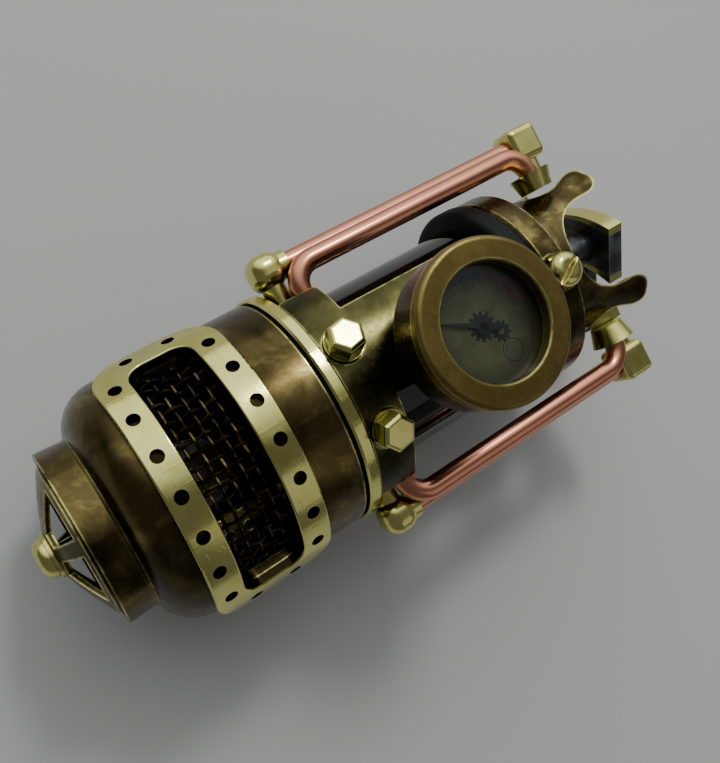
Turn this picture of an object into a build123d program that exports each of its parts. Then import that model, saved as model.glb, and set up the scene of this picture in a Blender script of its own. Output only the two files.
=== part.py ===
"""Flint wheel lighter built like a small lantern: a pull-off cap with a gauze window, a glass
fuel tank between two brass ends, a dial gauge, and four copper rails.

The lighter lies on its side. X runs along it from the cap to the claw end, Z is up, towards the
gauge, and Y goes across. Lengths along it are stations, counted in mm from the neck's rim.
"""
from build123d import *
from math import cos, radians, sin
import os

# ---------------------------------------------------------------- driving sizes, mm
# cap
neck_r = 11.15             # neck, at its rim
neck_root_r = 10.95
neck_length = 3.4
neck_bore_r = 9.95
cap_r = 15.4
cap_wall = 1.2
cap_end = 29.45            # station of the cap's open end
dome_end = 9.5             # station where the dome meets the cylinder
dome_curve_r = cap_r - 9.6
bore_fit = 0.08            # radial clearance of the cap on its spigot
flange_lip = 0.4           # how far the flange stands out past the cap
flange_r = cap_r + flange_lip
axis_height = flange_r     # the lighter lies on its flange, the widest round part

# window
window_start, window_end = 12.0, 19.85
window_half_angle = 58.5
window_corner_r = 2.4
frame_border = 3.75
frame_end_angle = 16.5     # how far the frame runs past the window's ends, in degrees
frame_corner_r = 6.0
frame_height = 1.2
frame_edge_r = 0.25
frame_hole_r = 0.8
frame_hole_depth = 0.9
frame_hole_step = 16.8     # degrees between the holes of a strip
frame_end_hole_angle = 66.5
frame_end_hole_half_gap = 2.64
gauze_thickness = 0.45
gauze_margin = 1.5

# vent in the neck
vent_rim_r = 9.55
vent_rim_station = -0.35
vent_hub_r = 2.9
vent_hub_station = -3.15
vent_wall = 0.7
vent_bow = 0.2
vent_openings = 6
vent_opening_half_angle = 23   # half of an opening, at its outer and its inner end
vent_spoke_half_angle = 16
spider_start, spider_end = 1.2, 2.4
spider_hub_r = 2.2
rivet_r = 0.95
rivet_head_r = 2.45
rivet_head_height = 1.6
rivet_washer_r = 2.85
rivet_washer_thickness = 0.35
spin_fit = 0.05            # radial clearance of anything that turns on a pin

# flange and burner deck
cap_gap = 0.5              # black line between the cap's end and the flange
flange_width = 1.65
flange_start = cap_end + cap_gap
flange_end = flange_start + flange_width
spigot_start = flange_start - 5.35
spigot_wall = 1.5
deck_thickness = 3.2
gasket_r = flange_r - 0.8
oring_station = spigot_start + 2.0
oring_r = 0.5

# glass tank
glass_r = 11.7
glass_wall = 1.3
tank_length = 33.9
tank_end = flange_end + tank_length
glass_seal = 0.3
plug_depth = 2.2           # how far each brass end reaches into the glass

# saddle
collar_wall = 2.2
saddle_wall = 1.6
collar_r = glass_r + collar_wall
saddle_r = collar_r + saddle_wall
saddle_end = flange_end + 5.3
collar_end = saddle_end + 0.5
saddle_half_angle = 57.0
tongue_low_angle, tongue_high_angle = -9.0, 36.5
bolt_station = flange_end + 2.6
bolt_angle = 20.5
bolt_flats = 4.0
bolt_head = 2.4
bolt_crown_r = 0.55
bolt_shank_r = 1.0
washer_r = 2.35
washer_thickness = 0.6

# gauge
gauge_station = flange_end + 14.8
tongue_end = gauge_station + 5.6
gauge_r = 9.2
gauge_depth = 7.3
gauge_base = saddle_r + 3.3    # heights above the lighter's own axis
gauge_top = gauge_base + gauge_depth
gauge_wall = 1.0
gauge_floor = 0.8
gauge_opening_r = 6.76
bezel_r = gauge_r + 0.35
bezel_thickness = 1.6
gauge_glass_thickness = 0.7
gauge_stem_r = 4.6
dial_height = gauge_base + 3.4
dial_thickness = 0.3
needle_length = 5.4
needle_tail = 2.2
needle_angle = 152.0       # where the needle points at rest, from +X towards +Y
arbor_r = 0.45

# claw end
ring_width = 3.3
ring_end = tank_end - 1.6
ring_start = ring_end - ring_width
rubber_r = glass_r + 2.4
band_width = 3.8
band_end = ring_end + band_width
band_r = glass_r + 2.2
band_inner_r = glass_r + 0.6
band_screw_station = ring_end + 1.2
band_screw_head_r = 2.3
band_screw_head = 1.7
band_screw_top = band_r + 3.0
band_screw_dome = 1.2
slot_turn = 30.0
slot_width, slot_depth = 0.8, 0.8
hub_r = band_inner_r - 2.9
hub_end = band_end + 4.6
crown_root_r = band_inner_r - 0.4
crown_waist_station, crown_waist_r = band_end + 2.3, crown_root_r - 0.6
crown_tip_station, crown_tip_r = band_end + 13.0, crown_root_r + 1.0
crown_tip_thickness = 1.0
crown_tip_round = 2.1
crown_turn = 2.7           # how far the crown is turned about the axis, in degrees
valley_r = hub_r - 2.9
valley_station = crown_tip_station - 3.3
filler_screw_r = 1.5
filler_screw_offset = hub_r - filler_screw_r - 1.5

# rails
rail_r = 1.4
rail_bore_r = 0.7
rear_rail_y, rear_rail_z = collar_r + 3.4, 3.4
front_rail_y, front_rail_z = collar_r + 2.3, 6.3
front_rail_start, front_rail_end = flange_end + 4.4, valley_station - 3.4
rail_bend_r = 3.2
ball_size, ball_round = 4.7, 1.95
ball_station = flange_end + ball_size / 2 + 0.1
ball_stem_r = 1.6
ball_collar_r, ball_collar_reach = 1.85, 2.9
rail_seat = 0.6            # how far past the ball's centre its rail starts
block_station = front_rail_end + 2.7
block_size = 4.9
block_stem_r = 1.7
block_seat = 2.4           # how deep the rail sits in its block
bracket_inset = 0.6
bracket_top = hub_r + 1.2
bracket_end_r = 2.3
socket_r = 3.0
socket_top = bracket_top + 2.5

# burner
wheel_station = 14.5
spark_wheel_r = 3.5
spark_wheel_width = 3.2
spark_teeth = 30
spark_groove_depth, spark_groove_width = 0.25, 0.36
knurl_depth, knurl_width = 0.2, 0.2
thumb_wheel_gap = 0.25
cheek_half_width = 2.2
yoke_foot = 1.0
thumb_wheel_r = 4.3
thumb_wheel_width = 0.9
wheel_gap = 0.1
cheek_thickness = 0.8
axle_r = 0.9
flint_tube_r = 2.1
flint_tube_bore_r = 1.35
flint_r = 1.2
flint_length = 5.0
plug_shank_length = 7.0
flint_gap = 0.05
follower_length = 1.5
spring_wire_r = 0.22
spring_pitch = 3.38
wick_tube_r, wick_r = 1.8, 1.45
wick_offset = wick_tube_r + glass_wall + 0.3 - glass_r
wick_start, wick_end = wheel_station + 1.1, tank_end - 9.5
chimney_r, chimney_wall = 3.6, 0.5
chimney_start = 9.5
chimney_hole_r = 0.55
chimney_hole_rows, chimney_hole_pitch = 4, 2.6

# flint plug
plug_thread_r = 3.15
plug_thread_length = 3.1
plug_shank_r = 1.2
plug_head_r = 5.0
plug_head_end = hub_end + 3.1
plug_neck_r = 2.4
plate_station = crown_tip_station + 0.9
plate_thickness = 2.6
plate_length, plate_width = 10.4, 6.8
plate_bow = 0.8            # how far the plate's long edges bow
grip_thin, grip_thick = 0.35, 1.15
plug_turn = 34.0           # how far the plug is turned about the axis, in degrees
cross_rod_r = 1.05
cross_rod_start, cross_rod_reach = 2.6, 11.0

# ---------------------------------------------------------------- datums
nose_station = vent_hub_station - spin_fit - rivet_washer_thickness - rivet_head_height
middle = (nose_station + plate_station + plate_thickness) / 2   # station of the row's origin
long_axis = Axis((0, 0, axis_height), (1, 0, 0))
lengthwise = Plane((0, 0, axis_height), x_dir=(1, 0, 0), z_dir=(0, -1, 0))


def at(station):
    """Row X of a station."""
    return station - middle


def crosswise(station, turn=0):
    """Plane square to the lighter's axis: x across (+Y), y up, facing the claw end."""
    turned = radians(turn)
    return Plane(
        (at(station), 0, axis_height), x_dir=(0, cos(turned), sin(turned)), z_dir=(1, 0, 0)
    )


def outward(station, angle, radius):
    """Plane facing away from the axis at an angle from straight up towards +Y."""
    away = (0, sin(radians(angle)), cos(radians(angle)))
    origin = (at(station), radius * away[1], axis_height + radius * away[2])
    return Plane(origin, x_dir=(1, 0, 0), z_dir=away)


def facing_side(station, side, y, z):
    """Plane facing out along +Y or -Y, at heights z above the axis."""
    return Plane((at(station), side * y, axis_height + z), x_dir=(1, 0, 0), z_dir=(0, side, 0))


def ring(start, end, inner_r, outer_r):
    """Plain ring about the lighter's axis."""
    with BuildPart() as made:
        with BuildSketch(crosswise(start)):
            Circle(outer_r)
            if inner_r:
                Circle(inner_r, mode=Mode.SUBTRACT)
        extrude(amount=end - start)
    return made


def sector(start, end, inner_r, outer_r, low_angle, high_angle, corner_r=0):
    """Piece of a ring between two angles from straight up, its corners rounded."""
    turned = radians(low_angle)
    edge_plane = Plane(
        (0, 0, axis_height), x_dir=(1, 0, 0), z_dir=(0, -cos(turned), sin(turned))
    )
    with BuildPart() as made:
        with BuildSketch(edge_plane):
            with Locations((at((start + end) / 2), (inner_r + outer_r) / 2)):
                Rectangle(end - start, outer_r - inner_r)
        revolve(axis=Axis((0, 0, axis_height), (-1, 0, 0)), revolution_arc=high_angle - low_angle)
        if corner_r:
            corners = made.edges().filter_by(GeomType.LINE).filter_by(Axis.X, reverse=True)
            fillet(corners, corner_r)
    return made


pieces = {}

# ---------------------------------------------------------------- cap
cap_bore_r = cap_r - cap_wall
frame_r = cap_r + frame_height

window_cut = sector(
    window_start, window_end, cap_bore_r - 1, frame_r + 1,
    -window_half_angle, window_half_angle, window_corner_r,
)

with BuildPart() as cap_shell:
    with BuildSketch(lengthwise) as cap_profile:
        with BuildLine():
            Polyline(
                (at(0), 0), (at(0), neck_r), (at(neck_length), neck_root_r),
                (at(neck_length + 0.4), neck_root_r + 0.15),
            )
            RadiusArc(
                (at(neck_length + 0.4), neck_root_r + 0.15), (at(dome_end), cap_r), dome_curve_r
            )
            Polyline((at(dome_end), cap_r), (at(cap_end), cap_r), (at(cap_end), 0), (at(0), 0))
        make_face()
    revolve(axis=long_axis)
    with BuildSketch(lengthwise):
        with BuildLine():
            Polyline(
                (at(-1), 0), (at(-1), neck_bore_r), (at(neck_length + cap_wall), neck_bore_r)
            )
            RadiusArc(
                (at(neck_length + cap_wall), neck_bore_r), (at(dome_end), cap_bore_r),
                dome_curve_r - cap_wall,
            )
            Polyline(
                (at(dome_end), cap_bore_r), (at(cap_end + 1), cap_bore_r), (at(cap_end + 1), 0),
                (at(-1), 0),
            )
        make_face()
    revolve(axis=long_axis, mode=Mode.SUBTRACT)
    add(window_cut.part, mode=Mode.SUBTRACT)
pieces["cap_shell"] = cap_shell

frame_half_angle = window_half_angle + frame_end_angle
strip_stations = (window_start - frame_border * 0.55, window_end + frame_border * 0.55)
frame_blank = sector(
    window_start - frame_border, window_end + frame_border, cap_r, frame_r,
    -frame_half_angle, frame_half_angle, frame_corner_r,
)
with BuildPart() as window_frame:
    add(frame_blank.part)
    add(window_cut.part, mode=Mode.SUBTRACT)
    outer_edges = window_frame.faces().filter_by(GeomType.CYLINDER).sort_by(SortBy.AREA)[-1].edges()
    fillet(outer_edges, frame_edge_r)
    for station in strip_stations:
        for step in range(-3, 4):
            inset = 0.26 if abs(step) == 3 else 0
            inward = inset if station < window_start else -inset
            with BuildSketch(outward(station + inward, step * frame_hole_step, frame_r)):
                Circle(frame_hole_r)
            extrude(amount=-frame_hole_depth, mode=Mode.SUBTRACT)
    for end_angle in (-frame_end_hole_angle, frame_end_hole_angle):
        for side in (-1, 1):
            station = (window_start + window_end) / 2 + side * frame_end_hole_half_gap
            with BuildSketch(outward(station, end_angle, frame_r)):
                Circle(frame_hole_r)
            extrude(amount=-frame_hole_depth, mode=Mode.SUBTRACT)
pieces["window_frame"] = window_frame

pieces["gauze"] = sector(
    window_start - gauze_margin, window_end + gauze_margin,
    cap_bore_r - gauze_thickness, cap_bore_r,
    -window_half_angle - 5, window_half_angle + 5, 1.0,
)

# ---------------------------------------------------------------- vent in the neck
with BuildPart() as vent_spider:
    with BuildSketch(crosswise(spider_start)):
        Circle(neck_bore_r)
        Circle(neck_bore_r - 1, mode=Mode.SUBTRACT)
        with PolarLocations((neck_bore_r - 0.5) / 2, 3):
            Rectangle(neck_bore_r - 0.5, 1.6)
        Circle(spider_hub_r)
        Circle(rivet_r, mode=Mode.SUBTRACT)
    extrude(amount=spider_end - spider_start)
pieces["vent_spider"] = vent_spider

opening_inner_r, opening_outer_r = vent_hub_r + 0.7, vent_rim_r - 0.8
bowl_station = (vent_hub_station + vent_rim_station) / 2 - vent_bow
bowl_r = (vent_hub_r + vent_rim_r) / 2
with BuildPart() as vent_wheel:
    with BuildSketch(lengthwise):
        with BuildLine():
            ThreePointArc(
                (at(vent_hub_station), vent_hub_r),
                (at(bowl_station), bowl_r),
                (at(vent_rim_station), vent_rim_r),
            )
            Polyline(
                (at(vent_rim_station), vent_rim_r), (at(vent_rim_station + vent_wall), vent_rim_r),
            )
            ThreePointArc(
                (at(vent_rim_station + vent_wall), vent_rim_r),
                (at(bowl_station + vent_wall), bowl_r),
                (at(vent_hub_station + vent_wall), vent_hub_r),
            )
            Polyline(
                (at(vent_hub_station + vent_wall), vent_hub_r),
                (at(vent_hub_station + vent_wall), rivet_r + spin_fit),
                (at(vent_hub_station), rivet_r + spin_fit), (at(vent_hub_station), vent_hub_r),
            )
        make_face()
    revolve(axis=long_axis)
    outer_half, inner_half = radians(vent_opening_half_angle), radians(vent_spoke_half_angle)
    for opening in range(vent_openings):
        with BuildSketch(crosswise(vent_hub_station - 1, opening * 360 / vent_openings)):
            with BuildLine():
                CenterArc((0, 0), opening_outer_r, -vent_opening_half_angle, 2 * vent_opening_half_angle)
                CenterArc((0, 0), opening_inner_r, -vent_spoke_half_angle, 2 * vent_spoke_half_angle)
                for side in (-1, 1):
                    Line(
                        (opening_outer_r * cos(outer_half), side * opening_outer_r * sin(outer_half)),
                        (opening_inner_r * cos(inner_half), side * opening_inner_r * sin(inner_half)),
                    )
            make_face()
        extrude(amount=vent_rim_station - vent_hub_station + 2, mode=Mode.SUBTRACT)
pieces["vent_wheel"] = vent_wheel

washer_end = vent_hub_station - spin_fit
washer_start = washer_end - rivet_washer_thickness
pieces["rivet_washer"] = ring(washer_start, washer_end, rivet_r, rivet_washer_r)

with BuildPart() as vent_rivet:
    with BuildSketch(crosswise(washer_start)):
        Circle(rivet_head_r)
    extrude(amount=-rivet_head_height)
    fillet(vent_rivet.edges().sort_by(Axis.X)[0], rivet_head_height * 0.8)
    with BuildSketch(crosswise(washer_start)):
        Circle(rivet_r)
    extrude(amount=spider_end + 0.4 - washer_start)
pieces["vent_rivet"] = vent_rivet

# ---------------------------------------------------------------- flange and burner deck
spigot_r = cap_bore_r - bore_fit
glass_bore_r = glass_r - glass_wall
deck_start = flange_end - deck_thickness
with BuildPart() as neck_flange:
    with BuildSketch(lengthwise):
        with BuildLine():
            Polyline(
                (at(spigot_start), spigot_r - spigot_wall), (at(spigot_start), spigot_r),
                (at(flange_start), spigot_r), (at(flange_start), flange_r),
                (at(flange_end), flange_r), (at(flange_end), glass_bore_r),
                (at(flange_end + plug_depth), glass_bore_r), (at(flange_end + plug_depth), 0),
                (at(deck_start), 0), (at(deck_start), spigot_r - spigot_wall), close=True,
            )
        make_face()
    revolve(axis=long_axis)
    chamfer(neck_flange.faces().filter_by(GeomType.CYLINDER).sort_by(SortBy.RADIUS)[-1].edges(), 0.25)
    with BuildSketch(crosswise(oring_station)):
        Circle(spigot_r + 1)
        Circle(spigot_r + bore_fit - 2 * oring_r - 0.02, mode=Mode.SUBTRACT)
    extrude(amount=oring_r * 1.05, both=True, mode=Mode.SUBTRACT)
    with BuildSketch(crosswise(deck_start - 1)):
        Circle(flint_tube_r)
        with Locations((wick_offset, 0)):
            Circle(wick_tube_r)
    extrude(amount=deck_thickness + plug_depth + 2, mode=Mode.SUBTRACT)
pieces["neck_flange"] = neck_flange

with BuildPart() as spigot_oring:
    with BuildSketch(lengthwise):
        with Locations((at(oring_station), spigot_r + bore_fit - oring_r - 0.01)):
            Circle(oring_r)
    revolve(axis=long_axis)
pieces["spigot_oring"] = spigot_oring

pieces["rim_gasket"] = ring(flange_start - 0.4, flange_start, spigot_r, gasket_r)

# ---------------------------------------------------------------- glass tank
pieces["glass_seal_front"] = ring(flange_end, flange_end + glass_seal, glass_bore_r, glass_r)
pieces["tank_glass"] = ring(flange_end + glass_seal, tank_end - glass_seal, glass_bore_r, glass_r)
pieces["glass_seal_rear"] = ring(tank_end - glass_seal, tank_end, glass_bore_r, glass_r)

# ---------------------------------------------------------------- saddle, bolts
bolt_hole_depth = saddle_r - glass_r - 0.6
with BuildPart() as tank_collar:
    with BuildSketch(crosswise(flange_end)):
        Circle(collar_r)
        Circle(glass_r, mode=Mode.SUBTRACT)
    extrude(amount=collar_end - flange_end)
    chamfer(tank_collar.edges().group_by(Axis.X)[-1].sort_by(SortBy.LENGTH)[-1], 0.3)
    for angle in (-bolt_angle, bolt_angle):
        with BuildSketch(outward(bolt_station, angle, saddle_r)):
            Circle(bolt_shank_r)
        extrude(amount=-bolt_hole_depth, mode=Mode.SUBTRACT)
pieces["tank_collar"] = tank_collar

saddle_band = sector(
    flange_end, saddle_end, collar_r, saddle_r, -saddle_half_angle, saddle_half_angle, 0.6
)
saddle_tongue = sector(
    saddle_end - 2, tongue_end, collar_r, saddle_r, tongue_low_angle, tongue_high_angle, 0.6
)
with BuildPart() as saddle_plate:
    add(saddle_band.part)
    add(saddle_tongue.part)
    for angle in (-bolt_angle, bolt_angle):
        with BuildSketch(outward(bolt_station, angle, saddle_r + 1)):
            Circle(washer_r + 0.1)
        extrude(amount=-1.25, mode=Mode.SUBTRACT)
        with BuildSketch(outward(bolt_station, angle, saddle_r + 1)):
            Circle(bolt_shank_r)
        extrude(amount=-4, mode=Mode.SUBTRACT)
pieces["saddle_plate"] = saddle_plate

seat_r = saddle_r - 0.25
with BuildPart() as saddle_washers:
    for angle in (-bolt_angle, bolt_angle):
        with BuildSketch(outward(bolt_station, angle, seat_r)):
            Circle(washer_r)
            Circle(bolt_shank_r, mode=Mode.SUBTRACT)
        extrude(amount=washer_thickness)
pieces["saddle_washers"] = saddle_washers

with BuildPart() as saddle_bolts:
    for angle in (-bolt_angle, bolt_angle):
        with BuildSketch(outward(bolt_station, angle, seat_r + washer_thickness)):
            RegularPolygon(bolt_flats / 2, 6, major_radius=False, rotation=10)
        extrude(amount=bolt_head)
        head_top = outward(bolt_station, angle, seat_r + washer_thickness + bolt_head)
        crown_edges = saddle_bolts.edges().filter_by(
            lambda edge: abs(head_top.to_local_coords(edge.center()).Z) < 0.01
        )
        fillet(crown_edges, bolt_crown_r)
        with BuildSketch(outward(bolt_station, angle, seat_r + washer_thickness)):
            Circle(bolt_shank_r)
        extrude(amount=-bolt_hole_depth)
pieces["saddle_bolts"] = saddle_bolts

# ---------------------------------------------------------------- gauge
def level(height):
    """Horizontal plane through the gauge's centre, at a height above the lighter's axis."""
    return Plane((at(gauge_station), 0, axis_height + height))


with BuildPart() as gauge_stem:
    with BuildSketch(level(gauge_base)):
        Circle(gauge_stem_r)
    extrude(amount=collar_r - gauge_base)
    with BuildSketch(crosswise(gauge_station - gauge_r)):
        Circle(saddle_r)
    extrude(amount=2 * gauge_r, mode=Mode.SUBTRACT)
pieces["gauge_stem"] = gauge_stem

bezel_base = gauge_top - bezel_thickness
with BuildPart() as gauge_case:
    with BuildSketch(level(gauge_base)):
        Circle(gauge_r)
    extrude(amount=bezel_base - gauge_base)
    fillet(gauge_case.edges().group_by(Axis.Z)[0], 0.8)
    with BuildSketch(level(gauge_base + gauge_floor)):
        Circle(gauge_r - gauge_wall)
    extrude(amount=gauge_top, mode=Mode.SUBTRACT)
pieces["gauge_case"] = gauge_case

with BuildPart() as gauge_bezel:
    with BuildSketch(level(bezel_base)):
        Circle(bezel_r)
        Circle(gauge_opening_r, mode=Mode.SUBTRACT)
    extrude(amount=bezel_thickness)
    rim_edges = gauge_bezel.edges().group_by(Axis.Z)[-1].sort_by(SortBy.LENGTH)
    fillet(rim_edges[-1], 0.6)
    chamfer(rim_edges[0], 0.15)
pieces["gauge_bezel"] = gauge_bezel

with BuildPart() as gauge_glass:
    with BuildSketch(level(bezel_base - gauge_glass_thickness)):
        Circle(gauge_r - gauge_wall)
    extrude(amount=gauge_glass_thickness)
pieces["gauge_glass"] = gauge_glass

with BuildPart() as gauge_movement:
    with BuildSketch(level(gauge_base + gauge_floor)):
        Circle(gauge_r - gauge_wall - 1.4)
        Circle(arbor_r + spin_fit, mode=Mode.SUBTRACT)
    extrude(amount=dial_height - gauge_base - gauge_floor)
pieces["gauge_movement"] = gauge_movement

with BuildPart() as gauge_dial:
    with BuildSketch(level(dial_height)):
        Circle(gauge_r - gauge_wall)
        Circle(arbor_r + spin_fit, mode=Mode.SUBTRACT)
    extrude(amount=dial_thickness)
pieces["gauge_dial"] = gauge_dial

needle_base = dial_height + dial_thickness + 0.25
with BuildPart() as gauge_arbor:
    with BuildSketch(level(gauge_base + gauge_floor + 0.1)):
        Circle(arbor_r)
    extrude(amount=needle_base + 0.4 - gauge_base - gauge_floor - 0.1)
pieces["gauge_arbor"] = gauge_arbor

needle_plane = Plane(
    (at(gauge_station), 0, axis_height + needle_base),
    x_dir=(cos(radians(needle_angle)), sin(radians(needle_angle)), 0), z_dir=(0, 0, 1),
)
with BuildPart() as gauge_needle:
    with BuildSketch(needle_plane):
        Circle(1.0)
        with BuildLine():
            Polyline(
                (-needle_tail, -0.45), (needle_length, -0.08), (needle_length, 0.08),
                (-needle_tail, 0.45), close=True,
            )
        make_face()
        Circle(arbor_r, mode=Mode.SUBTRACT)
    extrude(amount=0.25)
pieces["gauge_needle"] = gauge_needle

# ---------------------------------------------------------------- claw end
thread_start = hub_end - plug_thread_length

with BuildPart() as rubber_ring:
    with BuildSketch(crosswise(ring_start)):
        Circle(rubber_r)
        Circle(glass_r, mode=Mode.SUBTRACT)
    extrude(amount=ring_end - ring_start)
    fillet(rubber_ring.edges().filter_by(GeomType.CIRCLE).sort_by(SortBy.RADIUS)[-2:], 0.9)
pieces["rubber_ring"] = rubber_ring

with BuildPart() as tank_end_cap:
    with BuildSketch(lengthwise):
        with BuildLine():
            Polyline(
                (at(tank_end - plug_depth), 0), (at(tank_end - plug_depth), glass_bore_r),
                (at(tank_end), glass_bore_r), (at(tank_end), band_inner_r),
                (at(band_end), band_inner_r), (at(band_end), hub_r), (at(hub_end), hub_r),
                (at(hub_end), 0), close=True,
            )
        make_face()
    revolve(axis=long_axis)
    with BuildSketch(crosswise(tank_end - plug_depth - 1)):
        Circle(flint_tube_r)
    extrude(amount=thread_start - tank_end + plug_depth + 1, mode=Mode.SUBTRACT)
    with BuildSketch(crosswise(thread_start)):
        Circle(plug_thread_r + spin_fit)
    extrude(amount=hub_end - thread_start + 1, mode=Mode.SUBTRACT)
    with BuildSketch(crosswise(hub_end - 4)):
        with Locations((0, -filler_screw_offset)):
            Circle(filler_screw_r)
    extrude(amount=5, mode=Mode.SUBTRACT)
pieces["tank_end_cap"] = tank_end_cap

with BuildPart() as collar_band:
    with BuildSketch(crosswise(ring_end)):
        Circle(band_r)
        Circle(band_inner_r, mode=Mode.SUBTRACT)
    extrude(amount=band_end - ring_end)
    chamfer(collar_band.edges().filter_by(GeomType.CIRCLE).sort_by(SortBy.RADIUS)[-2:], 0.3)
    with BuildSketch(outward(band_screw_station, 0, band_screw_top - band_screw_head)):
        Circle(band_screw_head_r + 0.2)
        with Locations((ring_end - band_screw_station - band_screw_head_r, 0)):
            Rectangle(2 * band_screw_head_r, 3 * band_screw_head_r, mode=Mode.SUBTRACT)
    extrude(amount=band_inner_r - band_screw_top + band_screw_head + 0.4)
    with BuildSketch(outward(band_screw_station, 0, band_screw_top)):
        Circle(bolt_shank_r)
    extrude(amount=-band_screw_top + band_inner_r - 1, mode=Mode.SUBTRACT)
pieces["collar_band"] = collar_band

with BuildPart() as band_screw:
    with BuildSketch(outward(band_screw_station, 0, band_screw_top - band_screw_head)):
        Circle(band_screw_head_r)
    extrude(amount=band_screw_head)
    fillet(band_screw.edges().group_by(Axis.Z)[-1], band_screw_dome)
    with BuildSketch(outward(band_screw_station, 0, band_screw_top)):
        Rectangle(2 * band_screw_head_r + 1, slot_width, rotation=slot_turn)
    extrude(amount=-slot_depth, mode=Mode.SUBTRACT)
    with BuildSketch(outward(band_screw_station, 0, band_screw_top - band_screw_head)):
        Circle(bolt_shank_r)
    extrude(amount=band_inner_r - band_screw_top + band_screw_head)
pieces["band_screw"] = band_screw

crown_bore_r = hub_r
tip_x = crown_tip_station - valley_station
with BuildPart() as claw_crown:
    with BuildSketch(lengthwise):
        with BuildLine():
            Line((at(band_end), crown_bore_r), (at(band_end), crown_root_r))
            Spline(
                (at(band_end), crown_root_r), (at(crown_waist_station), crown_waist_r),
                (at(crown_tip_station), crown_tip_r),
            )
            Line(
                (at(crown_tip_station), crown_tip_r),
                (at(crown_tip_station), crown_tip_r - crown_tip_thickness),
            )
            ThreePointArc(
                (at(crown_tip_station), crown_tip_r - crown_tip_thickness),
                (at(valley_station - 0.6), hub_r + 0.75), (at(hub_end), crown_bore_r),
            )
            Line((at(hub_end), crown_bore_r), (at(band_end), crown_bore_r))
        make_face()
    revolve(axis=long_axis)
    for quarter in range(4):
        turn = crown_turn + 90 * quarter
        with BuildSketch(outward(valley_station, turn, 2)):
            for side in (-1, 1):
                with Locations((tip_x, side * (valley_r + crown_tip_round / 2))):
                    Rectangle(2 * crown_tip_round, crown_tip_round)
                with Locations((tip_x - crown_tip_round, side * (valley_r + crown_tip_round))):
                    Circle(crown_tip_round, mode=Mode.SUBTRACT)
            Circle(valley_r)
            with Locations((valley_r, 0)):
                Rectangle(2 * valley_r, 2 * valley_r)
        extrude(amount=2 * crown_tip_r, mode=Mode.SUBTRACT)
pieces["claw_crown"] = claw_crown

with BuildPart() as filler_screw:
    with BuildSketch(crosswise(hub_end)):
        with Locations((0, -filler_screw_offset)):
            Circle(filler_screw_r + 0.9)
    extrude(amount=1.2)
    with BuildSketch(crosswise(hub_end + 1.2)):
        with Locations((0, -filler_screw_offset)):
            Rectangle(6, slot_width)
    extrude(amount=-0.7, mode=Mode.SUBTRACT)
    with BuildSketch(crosswise(hub_end)):
        with Locations((0, -filler_screw_offset)):
            Circle(filler_screw_r)
    extrude(amount=-4)
pieces["filler_screw"] = filler_screw

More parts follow.
